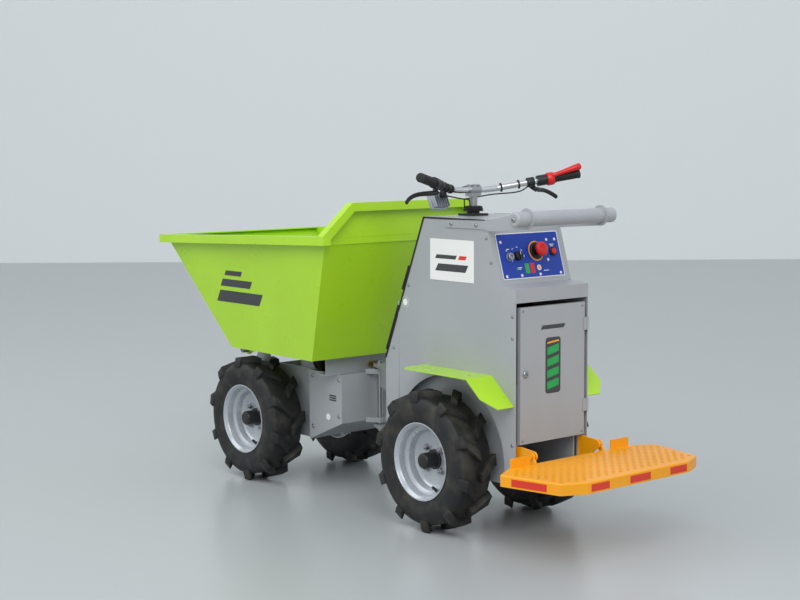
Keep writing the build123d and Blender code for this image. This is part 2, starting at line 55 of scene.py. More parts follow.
# ---- shader maths
class Signal:
    def __init__(self, board, socket):
        self.board = board
        self.socket = socket

    def maths(self, operation, first, second):
        return self.board.add("Math", {"operation": operation}, {0: first, 1: second})

    def __add__(self, other):
        return self.maths("ADD", self, other)

    def __radd__(self, other):
        return self.maths("ADD", other, self)

    def __sub__(self, other):
        return self.maths("SUBTRACT", self, other)

    def __rsub__(self, other):
        return self.maths("SUBTRACT", other, self)

    def __mul__(self, other):
        return self.maths("MULTIPLY", self, other)

    def __rmul__(self, other):
        return self.maths("MULTIPLY", other, self)

    def __truediv__(self, other):
        return self.maths("DIVIDE", self, other)

    def __pow__(self, other):
        return self.maths("POWER", self, other)

    def __gt__(self, other):
        return self.maths("GREATER_THAN", self, other)

    def __lt__(self, other):
        return self.maths("LESS_THAN", self, other)

    def clamped(self):
        return self.board.add("Clamp", None, {"Value": self})

    def sloped(self, low, high):
        return ((self - low) / (high - low)).clamped()


class Board:
    def __init__(self, name):
        self.material = bpy.data.materials.new(name)
        self.material.use_nodes = True
        self.tree = self.material.node_tree
        self.tree.nodes.clear()

    def add(self, kind, settings=None, sockets=None, output=0):
        node = self.tree.nodes.new("ShaderNode" + kind)
        for key, value in (settings or {}).items():
            if key == "stops":
                node.color_ramp.elements[0].position, node.color_ramp.elements[0].color = value[0]
                node.color_ramp.elements[1].position, node.color_ramp.elements[1].color = value[-1]
            else:
                setattr(node, key, value)
        for key, value in (sockets or {}).items():
            if isinstance(value, Signal):
                self.tree.links.new(value.socket, node.inputs[key])
            else:
                node.inputs[key].default_value = value
        return Signal(self, node.outputs[output]) if node.outputs else None

    def place(self):
        return self.add("TexCoord", None, None, "Object")

    def noise(self, scale, detail=3.0, at=None):
        return self.add("TexNoise", None, {"Vector": at or self.place(), "Scale": scale, "Detail": detail})

    def blend(self, mask, first, second):
        return self.add("Mix", {"data_type": "RGBA"}, {0: mask, 6: first, 7: second}, 2)

    def finish(self, **sockets):
        shader = self.add("BsdfPrincipled", None,
                          {key.replace("_", " "): value for key, value in sockets.items()})
        self.add("OutputMaterial", None, {"Surface": shader})
        return self.material


def colour(code):
    channels = [int(code[i:i + 2], 16) / 255 for i in (0, 2, 4)]
    return [c / 12.92 if c <= 0.04045 else ((c + 0.055) / 1.055) ** 2.4 for c in channels] + [1]


paints = {
    "bodyGrey": dict(shade="A3A6AA", rough=0.38, relief=0.10, grain=900, coat=0.15),
    "lime": dict(shade="ACDB22", rough=0.3, relief=0.06, grain=500, coat=0.25),
    "platformYellow": dict(shade="F5A300", rough=0.4, relief=0.08, grain=700, coat=0.1),
    "rimSilver": dict(shade="B4B9C0", rough=0.26, relief=0.05, grain=800, coat=0.6, metal=0.35),
    "tyreRubber": dict(shade="151516", rough=0.62, relief=0.35, grain=260, grime=0.55, soil="4A463C"),
    "blackPlastic": dict(shade="121213", rough=0.42, relief=0.20, grain=1400),
    "chrome": dict(shade="D6D9DC", rough=0.1, relief=0.02, grain=300, metal=1.0),
    "redPlastic": dict(shade="D41414", rough=0.3, relief=0.06, grain=900),
    "labelBlue": dict(shade="0838A0", rough=0.5, relief=0.03, grain=1200),
    "steel": dict(shade="A3A5A8", rough=0.3, relief=0.08, grain=700, metal=0.9),
    "rubber": dict(shade="19191A", rough=0.66, relief=0.3, grain=1500),
    "lampAlloy": dict(shade="AEB3B9", rough=0.3, relief=0.08, grain=900, metal=0.7),
    "white": dict(shade="EDEDEB", rough=0.4, relief=0.03, grain=900),
    "inkGrey": dict(shade="3A3D40", rough=0.45, relief=0.03, grain=900),
    "amber": dict(shade="F2A21A", rough=0.4, relief=0.03, grain=900),
    "tapeRed": dict(shade="D8331E", rough=0.35, relief=0.1, grain=1600),
    "brass": dict(shade="B9923F", rough=0.3, relief=0.05, grain=900, metal=1.0),
    "signGreen": dict(shade="1FA24A", rough=0.35, relief=0.03, grain=900),
    "lens": dict(shade="E6EEF2", rough=0.12, relief=0.4, grain=160),
}


def tinted(code, factor):
    return [channel * factor for channel in colour(code)[:3]] + [1]


def paint(name):
    spec = paints[name]
    board = Board(name)
    grain = board.noise(spec["grain"], 2.0)
    cloud = board.noise(4.0, 3.0).sloped(0.35, 0.65)
    base = board.blend(cloud, tinted(spec["shade"], 0.93), tinted(spec["shade"], 1.0))
    if "grime" in spec:
        soil = board.noise(16.0, 5.0).sloped(0.48, 0.72) * spec["grime"]
        base = board.blend(soil, base, colour(spec["soil"]))
    roughness = board.noise(11.0, 4.0).sloped(0.2, 0.8) * 0.12 + (spec["rough"] - 0.06)
    bump = board.add("Bump", None, {"Height": grain, "Strength": spec["relief"], "Distance": 0.0006})
    return board.finish(Base_Color=base, Roughness=roughness, Normal=bump, Metallic=spec.get("metal", 0.0),
                        Coat_Weight=spec.get("coat", 0.0), Coat_Roughness=0.12)


finishes = {name: paint(name) for name in paints}
slots = {"body_grey": "bodyGrey", "lime": "lime", "platform_yellow": "platformYellow",
         "rim_silver": "rimSilver",
         "tyre_rubber": "tyreRubber", "black_plastic": "blackPlastic", "chrome": "chrome",
         "red_plastic": "redPlastic", "label_blue": "labelBlue", "steel": "steel", "rubber": "rubber",
         "lamp_alloy": "lampAlloy", "battery_case": "blackPlastic"}
softEdges = {"grab_bar": 0.004, "top_cover": 0.001, "console": 0.0008, "stop_button": 0.002,
             "column_mount": 0.003,
             "switch_housings": 0.004, "skip_rim": 0.004, "side_panel_left": 0.001,
             "side_panel_right": 0.001,
             "battery_door": 0.0015, "rear_chassis": 0.0015, "front_chassis": 0.0015, "cross_beam": 0.002,
             "bar_brackets": 0.0012, "mudguard_left": 0.001, "mudguard_right": 0.001,
             "steering_stem": 0.002,
             "actuator_barrel": 0.002, "platform_brackets": 0.001, "skip_brackets": 0.001,
             "hinge_pin": 0.001}
for row in frame["record"]["subparts"]:
    node = frame["nodes"][row["node"]]
    node.data.materials.clear()
    node.data.materials.append(finishes[slots[row["material_slot"]]])
    if row["node"] in softEdges:
        bevel = node.modifiers.new("softEdge", "BEVEL")
        bevel.width = softEdges[row["node"]]
        bevel.segments = 2
        bevel.limit_method = "ANGLE"
        bevel.angle_limit = radians(40)
print("materials")

# ---- places: the frame's own stations, in millimetres
mm = 0.001
panelLow, panelHigh = span("side_panel_left")
rear = panelLow.x + 349 * mm
datum = panelHigh.z - 1112 * mm
front = rear + 1120 * mm


def spot(x, y, z, station=None):
    return Vector((station if station is not None else rear, 0, datum)) + Vector((x, y, z)) * mm


# ---- mesh tools
def settle(name, bm, finish, body, smooth=35, bevel=0, segments=2, hides=()):
    bmesh.ops.recalc_face_normals(bm, faces=bm.faces)
    data = bpy.data.meshes.new(name)
    bm.to_mesh(data)
    bm.free()
    piece = bpy.data.objects.new(name, data)
    bpy.context.collection.objects.link(piece)
    data.materials.append(finishes[finish])
    bpy.ops.object.select_all(action="DESELECT")
    piece.select_set(True)
    bpy.context.view_layer.objects.active = piece
    if bevel:
        modifier = piece.modifiers.new("softEdge", "BEVEL")
        modifier.width = bevel
        modifier.segments = segments
        modifier.limit_method = "ANGLE"
        modifier.angle_limit = radians(30)
        bpy.ops.object.modifier_apply(modifier=modifier.name)
    if smooth:
        bpy.ops.object.shade_smooth_by_angle(angle=radians(smooth))
    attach(piece, body)
    if hides:
        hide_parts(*hides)
    return piece


def lathe(bm, profile, segments=96, origin=Vector((0, 0, 0)), axis=Vector((0, 1, 0)), closed=False):
    side = axis.orthogonal().normalized()
    up = axis.cross(side)
    rings = []
    for turn in range(segments):
        angle = 2 * pi * turn / segments
        away = side * cos(angle) + up * sin(angle)
        rings.append([bm.verts.new(origin + axis * along + away * radius) for along, radius in profile])
    count = len(profile)
    for turn in range(segments):
        near, far = rings[turn], rings[(turn + 1) % segments]
        for i in range(count if closed else count - 1):
            j = (i + 1) % count
            bm.faces.new((near[i], near[j], far[j], far[i]))
    if not closed:
        for end in (0, -1):
            bm.faces.new([ring[end] for ring in rings])


def slab(bm, outline, origin, right, up, depth):
    away = right.cross(up).normalized() * depth
    low = [bm.verts.new(origin + right * x * mm + up * y * mm) for x, y in outline]
    high = [bm.verts.new(vert.co + away) for vert in low]
    bm.faces.new(low)
    bm.faces.new(high)
    for i in range(len(low)):
        j = (i + 1) % len(low)
        bm.faces.new((low[i], low[j], high[j], high[i]))


def disc(radius, count=24, centre=(0, 0)):
    return [(centre[0] + radius * cos(2 * pi * i / count), centre[1] + radius * sin(2 * pi * i / count))
            for i in range(count)]


def box(width, height, corner=0, centre=(0, 0)):
    if not corner:
        return [(centre[0] + sx * width / 2, centre[1] + sy * height / 2) for sx,
                sy in ((-1, -1), (1, -1), (1, 1), (-1, 1))]
    points = []
    for sx, sy, begin in ((1, 1, 0), (-1, 1, 90), (-1, -1, 180), (1, -1, 270)):
        for step in range(5):
            angle = radians(begin + 22.5 * step)
            points.append((centre[0] + sx * (width / 2 - corner) + corner * cos(angle),
                           centre[1] + sy * (height / 2 - corner) + corner * sin(angle)))
    return points


def hose(name, points, radius, finish, body, hides=()):
    curve = bpy.data.curves.new(name, "CURVE")
    curve.dimensions = "3D"
    spline = curve.splines.new("NURBS")
    spline.points.add(len(points) - 1)
    for point, place in zip(spline.points, points):
        point.co = (*place, 1)
    spline.order_u = 3
    spline.use_endpoint_u = True
    spline.resolution_u = 12
    curve.bevel_depth = radius
    curve.bevel_resolution = 3
    curve.use_fill_caps = True
    piece = bpy.data.objects.new(name, curve)
    bpy.context.collection.objects.link(piece)
    curve.materials.append(finishes[finish])
    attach(piece, body)
    if hides:
        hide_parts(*hides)
    return piece


outward = {"left": Vector((0, 1, 0)), "right": Vector((0, -1, 0)), "back": Vector((-1, 0, 0)),
           "front": Vector((1, 0, 0)),
           "up": Vector((0, 0, 1)), "down": Vector((0, 0, -1))}


def bolts(name, places, facing, radius, body, finish="steel", head=0.5):
    bm = bmesh.new()
    for place in places:
        lathe(bm, [(0, 0.0001), (0, radius * 1.25), (radius * 0.16, radius * 1.25), (radius * 0.18, radius),
                   (radius * head, radius * 0.82), (radius * (head + 0.12), radius * 0.45),
                   (radius * head * 0.6, radius * 0.42), (radius * head * 0.6, 0.0001)], 16, place, facing)
    return settle(name, bm, finish, body, 40)


# ---- tyres
tyre = dict(sidewall=[(59, 127.2), (63, 129), (66, 140), (68, 141), (69, 147), (73, 158), (76, 172),
                                         (76.3, 186), (74, 202), (69, 214), (61, 221.5), (48, 224.5),
                                         (24, 226)],
            lug=[(-44, 3), (-12, 3), (8, 21), (26, 40), (46, 62), (46, 66), (46, 79), (10, 79), (7, 66),
                 (6, 60),
                 (-8, 40), (-26, 20)],
            top=248.4, shoulder=66, foot=206, rows=10, draft=3.0)


def lugTop(y):
    return tyre["top"] - 1.6 * (y / tyre["shoulder"]) ** 2 if y <= tyre["shoulder"] else 217


def lugFoot(y):
    return 219 if y < 60 else tyre["foot"]


def addLug(bm, turn, sign):
    cx = sum(x for x, y in tyre["lug"]) / len(tyre["lug"])
    cy = sum(y for x, y in tyre["lug"]) / len(tyre["lug"])
    rims = []
    for level in ("foot", "top"):
        ring = []
        for x, y in tyre["lug"]:
            if level == "foot":
                away = hypot(x - cx, y - cy)
                x += (x - cx) / away * tyre["draft"]
                grown = y + (y - cy) / away * tyre["draft"]
                radius = lugFoot(y)
                y = max(0.5, min(grown, 75))
            else:
                radius = lugTop(y)
                y = min(y, 76.2)
            angle = turn + x / 235
            ring.append(bm.verts.new(Vector((radius * sin(angle), sign * y, radius * cos(angle))) * mm))
        rims.append(ring)
    foot, top = rims
    bm.faces.new(top[:6] + top[8:])
    bm.faces.new(top[5:9])
    bm.faces.new(foot)
    for i in range(len(foot)):
        j = (i + 1) % len(foot)
        bm.faces.new((foot[i], foot[j], top[j], top[i]))


def wheelMesh():
    bm = bmesh.new()
    profile = [(y * mm, r * mm) for y, r in tyre["sidewall"]]
    lathe(bm, profile + [(-y, r) for y, r in reversed(profile[:-1])] , 96, closed=True)
    for row, sign in ((0, 1), (0.5, -1)):
        for k in range(tyre["rows"]):
            addLug(bm, 2 * pi * (k + row) / tyre["rows"], sign)
    return bm


rim = dict(barrel=[(70, 134), (70, 137.5), (68.5, 138), (66.5, 137.6), (65.5, 134), (59, 127), (-59, 127),
                   (-66.5, 137.6),
                   (-70, 138), (-70, 134), (-63, 124), (-58, 122), (-34, 122), (-30, 114), (-26, 108.5),
                   (-6, 107),
                   (-5, 100), (-5, 38), (-34, 36), (-34, 16), (-4, 16), (-1, 40), (-1, 88), (2, 96),
                   (6, 101),
                   (20, 105.5), (27, 107.5), (31, 114), (34, 121), (38, 122.3), (58, 122.3), (62, 124.5),
                   (66, 131)],
           cap=[(-2, 0.01), (-2, 36), (5, 36), (6, 30), (7, 29.2), (52, 28.6), (57, 26), (59, 22),
                (59, 0.01)],
           nutCircle=54)
for row in ("front", "rear"):
    for hand, sign in (("left", 1), ("right", -1)):
        low, high = span(f"tyre_{row}_{hand}")
        centre = (low + high) / 2
        body = f"wheel_{row}_{hand}"
        girth, wide = (high.z - low.z) / 0.4968, (high.y - low.y) / 0.1526
        flip = Matrix.Diagonal((girth, sign * wide, girth, 1))
        bm = wheelMesh()
        bmesh.ops.transform(bm, matrix=Matrix.Translation(centre) @ flip, verts=bm.verts)
        settle(f"tyre.{row}.{hand}", bm, "tyreRubber", body, 32, 0.0022, 2, [f"tyre_{row}_{hand}"])
        bm = bmesh.new()
        lathe(bm, [(y * mm, r * mm) for y, r in rim["barrel"]], 96, closed=True)
        bmesh.ops.transform(bm, matrix=Matrix.Translation(centre) @ flip, verts=bm.verts)
        settle(f"rim.{row}.{hand}", bm, "rimSilver", body, 30, 0, 2, [f"rim_{row}_{hand}"])
        facing = outward[hand]
        bm = bmesh.new()
        lathe(bm, [(y * mm, r * mm) for y, r in rim["cap"]], 40, centre, facing)
        settle(f"hubCap.{row}.{hand}", bm, "blackPlastic", body, 40, 0.001)
        bm = bmesh.new()
        for k in range(4):
            angle = radians(45 + 90 * k)
            place = centre + Vector((rim["nutCircle"] * cos(angle), 0, rim["nutCircle"] * sin(angle))) * mm
            lathe(bm, [(-0.003, 0.0001), (-0.003, 0.0135), (0.002, 0.0135), (0.003, 0.0108)], 24, place,
                  facing)
            lathe(bm, [(0.003, 0.0001), (0.003, 0.0108), (0.013, 0.0108), (0.014, 0.0095), (0.014, 0.006)],
                  6, place, facing)
            lathe(bm, [(0.012, 0.0001), (0.012, 0.0055), (0.019, 0.0055), (0.020, 0.0045), (0.020, 0.0001)],
                  16, place, facing)
        settle(f"wheelNuts.{row}.{hand}", bm, "steel", body, 35)
        bm = bmesh.new()
        valve = centre + Vector((-70, sign * 47, -100)) * mm
        lathe(bm, [(-0.004, 0.0001), (-0.004, 0.009), (0.002, 0.009), (0.004, 0.006), (0.026, 0.005),
                   (0.028, 0.0001)], 16,
              valve, (Vector((0.57, 0, 0.82)) * 0.8 + facing * 0.5).normalized())
        settle(f"valve.{row}.{hand}", bm, "rubber", body, 40)
print("wheels")

# ---- console: legends and controls on the label
foot = spot(-266, 0, 892)
rise = (spot(-209, 0, 1081) - foot)
reach = rise.length
rise.normalize()
across = Vector((0, -1, 0))
facing = across.cross(rise).normalized()
labelTop = foot + facing * 0.0015


def onConsole(u, v, lift=0.0):
    return labelTop + across * u * mm + rise * v * mm + facing * lift


def legend(name, finish, outlines, depth=0.0004, body="rear_frame"):
    bm = bmesh.new()
    for outline in outlines:
        slab(bm, outline, labelTop, across, rise, depth)
    return settle(name, bm, finish, body, 0)


def arc(centre, radius, width, begin, end, steps=20):
    turns = [radians(begin + (end - begin) * k / steps) for k in range(steps + 1)]
    return ([(centre[0] + radius * cos(a), centre[1] + radius * sin(a)) for a in turns]
            + [(centre[0] + (radius - width) * cos(a),
                centre[1] + (radius - width) * sin(a)) for a in reversed(turns)])


legend("labelFrame", "white", [box(302, 164, 7, (0, reach / mm / 2))], 0.0002)
legend("labelField", "labelBlue", [box(296, 158, 5, (0, reach / mm / 2))], 0.0004)
legend("labelTicks", "white",
       [arc((-64, 98), 33, 2, 215 - 42 * k, 215 - 42 * k - 14, 4) for k in range(6)]
       + [box(14, 2.6, 0, (-104, 124)), box(8, 2.6, 0, (-112, 119)), box(22, 2.6, 0, (112, 132)),
          box(14, 2.6, 0, (112, 126)),
          box(20, 2.4, 0, (-64, 56)), box(12, 2.4, 0, (-64, 51)), disc(10, 24, (30, 52)),
          box(26, 2.2, 0, (62, 40))], 0.0006)
legend("labelYellow", "amber", [arc((30, 112), 36, 5, 0, 360, 40), disc(6.5, 20, (30, 52))], 0.0008)
legend("labelGreen", "signGreen", [box(20, 36, 2, (-28, 52)), box(8, 8, 0, (-76, 52))], 0.0006)
legend("labelRed", "redPlastic", [box(20, 36, 2, (-2, 52))], 0.0006)
bm = bmesh.new()
lathe(bm, [(0, 0.0001), (0, 0.0165), (0.010, 0.0160), (0.014, 0.0145), (0.0152, 0.012), (0.0152, 0.0001)],
      40,
      onConsole(-64, 98), facing)
slab(bm, box(7, 30, 3), onConsole(-64, 98, 0.013), across, rise, 0.006)
settle("speedKnob", bm, "blackPlastic", "rear_frame", 40, 0.0008)
bm = bmesh.new()
slab(bm, box(1.8, 12, 0, (0, 8)), onConsole(-64, 98, 0.0190), across, rise, 0.0005)
settle("speedPointer", bm, "white", "rear_frame", 0)
bm = bmesh.new()
lathe(bm, [(0, 0.0001), (0, 0.0145), (0.003, 0.0145), (0.004, 0.0125), (0.0135, 0.0125), (0.0145, 0.0115),
           (0.0145, 0.0065),
           (0.010, 0.006), (0.010, 0.0001)], 32, onConsole(-104, 96), facing)
settle("keySwitch", bm, "steel", "rear_frame", 35)
bm = bmesh.new()
lathe(bm, [(0.0, 0.0001), (0.0, 0.0300), (0.007, 0.0300), (0.009, 0.0285), (0.009, 0.0135), (0.025, 0.0125),
           (0.025, 0.0001)], 40,
      onConsole(30, 112), facing)
settle("stopCollar", bm, "blackPlastic", "rear_frame", 35)
bm = bmesh.new()
lathe(bm, [(0.0242, 0.0001), (0.0242, 0.0235), (0.0262, 0.0257), (0.032, 0.0260), (0.037, 0.0245),
           (0.0405, 0.0205),
           (0.0425, 0.0150), (0.0430, 0.008), (0.0430, 0.0001)], 48, onConsole(30, 112), facing)
settle("stopHead", bm, "redPlastic", "rear_frame", 50, 0, 2, ["stop_button", "console_controls"])
bm = bmesh.new()
lathe(bm, [(0.0, 0.0001), (0.0, 0.0165), (0.005, 0.0165), (0.007, 0.015), (0.007, 0.0115), (0.005, 0.0110),
           (0.005, 0.0001)], 32,
      onConsole(112, 106), facing)
settle("pushCollar", bm, "blackPlastic", "rear_frame", 35)
bm = bmesh.new()
lathe(bm, [(0.004, 0.0001), (0.004, 0.0108), (0.0095, 0.0108), (0.0108, 0.0095), (0.0112, 0.006),
           (0.0112, 0.0001)], 32,
      onConsole(112, 106), facing)
settle("pushHead", bm, "redPlastic", "rear_frame", 40)
bolts("consoleScrews", [onConsole(u, v, 0.0002) for u,
                        v in ((-60, 28), (30, 28), (82, 78), (132, 28), (92, 150), (-132, 150),
                                                            (-132, 28), (132, 150))], facing, 0.0042,
                                                            "rear_frame", "white", 0.4)
print("console")

# ---- door, side plate and generic markings


def stuck(name, finish, outlines, origin, right, up, body, depth=0.0005):
    bm = bmesh.new()
    for outline in outlines:
        slab(bm, outline, origin, right, up, depth)
    return settle(name, bm, finish, body, 0)


backRight, upward = Vector((0, -1, 0)), Vector((0, 0, 1))
doorMark = spot(-352, 0, 610)
stuck("doorMarkFrame", "inkGrey", [box(74, 196, 12)], doorMark, backRight, upward, "door", 0.0004)
stuck("doorMarkBands", "signGreen", [[(-28, z), (28, z + 12), (28, z + 38), (-28, z + 26)] for z in (-84,
        -44, -4, 36)],
      doorMark + outward["back"] * 0.0004, backRight, upward, "door", 0.0003)
stuck("doorMarkAccent", "amber", [[(-28, 76), (28, 82), (28, 88), (-28, 82)]],
      doorMark + outward["back"] * 0.0004, backRight,
      upward, "door", 0.0003)
stuck("doorStrip", "inkGrey", [[(-60, -7), (52, -7), (60, 7), (-52, 7)]], spot(-352, 0, 745), backRight,
      upward, "door")
leftRight = Vector((-1, 0, 0))
plateOrigin = spot(-25, 178.3, 965)
stuck("sidePlate", "white", [box(232, 148, 3)], plateOrigin, leftRight, upward, "rear_frame", 0.0012)
stuck("sidePlateBars", "inkGrey", [[(-88, -40), (72, -40), (88, -14), (-72, -14)],
                                   [(-88, 4), (20, 4), (28, 18), (-80, 18)]],
      plateOrigin + Vector((0, 0.0012, 0)), leftRight, upward, "rear_frame", 0.0003)
stuck("sidePlateAccent", "tapeRed", [[(34, 4), (72, 4), (80, 18), (42, 18)]],
      plateOrigin + Vector((0, 0.0012, 0)), leftRight, upward, "rear_frame", 0.0003)
stuck("roundMark", "white", [disc(19, 32)], spot(232, 178.2, 797), leftRight, upward, "rear_frame")
stuck("roundMarkRing", "inkGrey", [arc((0, 0), 17, 3, 0, 360, 32)],
      spot(232, 178.2, 797) + Vector((0, 0.0005, 0)), leftRight,
      upward, "rear_frame", 0.0003)
barsTall = [[(-190, -62), (112, -62), (146, -14), (-156, -14)], [(-150, 4), (60, 4), (82, 34), (-128, 34)],
            [(-112, 50), (4, 50), (18, 70), (-98, 70)]]
flare = (391 - 335) / (1010 - 550)
for hand, sign in (("left", 1), ("right", -1)):
    up = Vector((0, sign * flare, 1)).normalized()
    right = Vector((-sign, 0, 0))
    height = 800
    wall = 335 + flare * (height - 550)
    origin = spot(-90, sign * wall, height, front) + right.cross(up).normalized() * 0.0004
    stuck(f"skipStripes.{hand}", "inkGrey", barsTall, origin, right, up, "skip")
print("markings")

# ---- fasteners and trims on the body
for hand, sign in (("left", 1), ("right", -1)):
    out = outward[hand]
    bolts(f"panelScrews.{hand}", [spot(x, sign * 178, z) for x, z in ((-203, 1052), (-228, 968),
            (-334, 790), (-334, 715), (-334, 345),
                                                                    (-334, 250), (300, 620), (212, 860))],
                                                                    out, 0.0052, "rear_frame")
    bolts(f"bracketScrews.{hand}", [spot(x, sign * 182, 1095) for x in (-25, -155)], out, 0.0065,
          "rear_frame")
    bm = bmesh.new()
    slab(bm, [(-196, 1109), (131, 1109), (131, 1115.5), (-196, 1115.5)], spot(0, sign * 177, 0) ,
         Vector((1, 0, 0)), upward, -sign * 0.003)
    slab(bm, [(129, 1115), (349, 580), (343, 579), (124, 1111)], spot(0, sign * 177, 0), Vector((1, 0, 0)),
         upward, -sign * 0.0045)
    settle(f"edgeTrim.{hand}", bm, "rubber", "rear_frame", 30, 0.0012)
    bm = bmesh.new()
    slab(bm, [(200, 932), (207, 934), (247, 843), (240, 841)], spot(4, sign * 178.6, 0), Vector((1, 0, 0)),
         upward, -sign * 0.004)
    slab(bm, [(262, 782), (269, 784), (340, 612), (333, 610)], spot(4, sign * 178.6, 0), Vector((1, 0, 0)),
         upward, -sign * 0.004)
    settle(f"edgePads.{hand}", bm, "rubber", "rear_frame", 30, 0.001)
    bm = bmesh.new()
    slab(bm, [(268, 800), (273, 800), (273, 384), (268, 384)], spot(0, sign * 177.6, 0), Vector((1, 0, 0)),
         upward, -sign * 0.0016)
    settle(f"panelCrease.{hand}", bm, "bodyGrey", "rear_frame", 30, 0.0007)
    bolts(f"barEndScrew.{hand}", [spot(-402, sign * 241, 1125)], out, 0.008, "rear_frame")
bolts("doorScrews", [spot(-352, y, z) for y, z in ((-146, 360), (146, 360), (146, 808), (-146, 808))],
      outward["back"], 0.004, "door")
bm = bmesh.new()
lathe(bm, [(0, 0.0001), (0, 0.012), (0.004, 0.012), (0.006, 0.010), (0.006, 0.005), (0.003, 0.004),
           (0.003, 0.0001)], 24,
      spot(-352, 134, 590), outward["back"])
settle("doorLock", bm, "steel", "door", 35)
print("fasteners")

# ---- handlebar
barTip = {1: spot(-99, 385, 1262), -1: spot(-99, -385, 1262)}
barBend = {1: spot(54, 105, 1211), -1: spot(54, -105, 1211)}
barWay = {sign: (barTip[sign] - barBend[sign]).normalized() for sign in (1, -1)}


def onBar(distance, sign, offset=(0, 0, 0)):
    return barTip[sign] - barWay[sign] * distance * mm + Vector((offset[0], sign * offset[1],
            offset[2])) * mm


bm = bmesh.new()
for sign in (1, -1):
    ribs = [(-6, 0.01), (-6, 13), (-4.5, 16.4), (2, 17.0), (5, 16.2)]
    for k in range(13 if sign > 0 else 10):
        x = 9 + 7.6 * k
        ribs += [(x, 15.4), (x + 1.4, 16.4), (x + 5.2, 16.4), (x + 6.4, 15.4)]
    last = 118 if sign > 0 else 94
    ribs += [(last - 6, 17.6), (last - 0.5, 18.4), (last, 11.3)]
    lathe(bm, [(-x * mm, r * mm) for x, r in ribs], 32, onBar(0, sign), barWay[sign])
settle("gripSleeves", bm, "rubber", "handlebar", 35, 0, 2, ["grips"])


def blade(bm, stations, widthWay):
    rings = []
    for k, (place, half, thick) in enumerate(stations):
        ahead = stations[min(k + 1, len(stations) - 1)][0] - stations[max(k - 1, 0)][0]
        along = ahead.normalized()
        wide = (widthWay - along * widthWay.dot(along)).normalized()
        deep = along.cross(wide)
        ring = []
        for turn in range(16):
            angle = 2 * pi * turn / 16
            ring.append(bm.verts.new(place + wide * half * mm * cos(angle) + deep * thick * mm * sin(angle)))
        rings.append(ring)
    for near, far in zip(rings[:-1], rings[1:]):
        for i in range(16):
            j = (i + 1) % 16
            bm.faces.new((near[i], near[j], far[j], far[i]))
    bm.faces.new(rings[0])
    bm.faces.new(rings[-1])


bm = bmesh.new()
for sign in (1, -1):
    way = [(6, -16, -34, 9, 7), (22, 2, -36, 9, 6), (31, 22, -37, 8.5, 5), (37, 44, -39, 8, 4.5),
           (39, 62, -43, 8, 4.5),
           (38, 78, -49, 8, 4.5), (35, 92, -56, 8, 4.8), (30, 103, -64, 8, 5.5), (29, 107, -67.5, 6.5, 5)]
    blade(bm, [(onBar(140, sign, step[:3]), step[3], step[4]) for step in way], Vector((0, 0, 1)))
    lathe(bm, [(-0.028, 0.0112), (-0.028, 0.0165), (-0.026, 0.018), (-0.002, 0.018), (0, 0.0165),
               (0, 0.0112)], 32,
          onBar(172, sign), barWay[sign], closed=True)
    blade(bm, [(onBar(180, sign, (14, 0, -8)), 9, 7), (onBar(162, sign, (18, -4, -22)), 9, 7),
               (onBar(146, sign, (8, -12, -35)), 9, 7)],
          Vector((0, 0, 1)))
settle("brakeBlades", bm, "blackPlastic", "handlebar", 60, 0, 2, ["brake_levers"])
bm = bmesh.new()
base, tip = onBar(109, -1, (-20, 0, 14)), spot(-114, -383, 1292)
stations = []
for t, half in ((-0.06, 5), (0.0, 9), (0.12, 8), (0.3, 8.4), (0.55, 10), (0.8, 12), (0.92, 12.8),
                (0.97, 11.5), (1.0, 7)):
    stations.append((base.lerp(tip, t), half, half))
blade(bm, stations, Vector((0, 0, 1)))
lathe(bm, [(-26 * mm, 0.0112), (-26 * mm, 0.0225), (-24 * mm, 0.024), (-2 * mm, 0.024), (0, 0.0225),
           (0, 0.0112)], 40,
      onBar(96.5, -1), barWay[-1], closed=True)
settle("tipHandle", bm, "redPlastic", "handlebar", 50, 0, 2, ["tip_lever"])
bm = bmesh.new()
lampAt = spot(60, 150, 1180)
look = Vector((0.9, 0, -0.43)).normalized()
lampUp = Vector((0.43, 0, 0.9)).normalized()
sideways = Vector((0, 1, 0))
slab(bm, box(74, 60, 8), lampAt + look * 0.020, sideways, lampUp,
     0.014 if sideways.cross(lampUp).dot(look) > 0 else -0.014)
for k in range(7):
    slab(bm, box(3, 54, 1, (-30 + 10 * k, 0)), lampAt, sideways, lampUp,
         0.021 if sideways.cross(lampUp).dot(look) > 0 else -0.021)
slab(bm, box(66, 50, 4), lampAt + look * 0.010, sideways, lampUp,
     0.012 if sideways.cross(lampUp).dot(look) > 0 else -0.012)
settle("lampBody", bm, "lampAlloy", "handlebar", 35, 0.0012, 2, ["work_lamp"])
bm = bmesh.new()
slab(bm, box(64, 50, 5), lampAt + look * 0.0335, sideways, lampUp,
     0.001 if sideways.cross(lampUp).dot(look) > 0 else -0.001)
settle("lampLens", bm, "lens", "handlebar", 0)
bm = bmesh.new()
slab(bm, box(12, 30, 3), spot(64, 150, 1199), Vector((0, 1, 0)), upward, -0.024)
lathe(bm, [(-0.009, 0.0114), (-0.009, 0.0155), (0.009, 0.0155), (0.009, 0.0114)], 32, onBar(266, 1),
      barWay[1], closed=True)
settle("lampBracket", bm, "blackPlastic", "handlebar", 35, 0.001)
bm = bmesh.new()
for sign in (1, -1):
    for distance in (232, 300):
        lathe(bm, [(-0.002, 0.0113), (-0.002, 0.0165), (0.002, 0.0165), (0.002, 0.0113)], 24,
              onBar(distance, sign), barWay[sign], closed=True)
settle("barTies", bm, "rubber", "handlebar", 35)
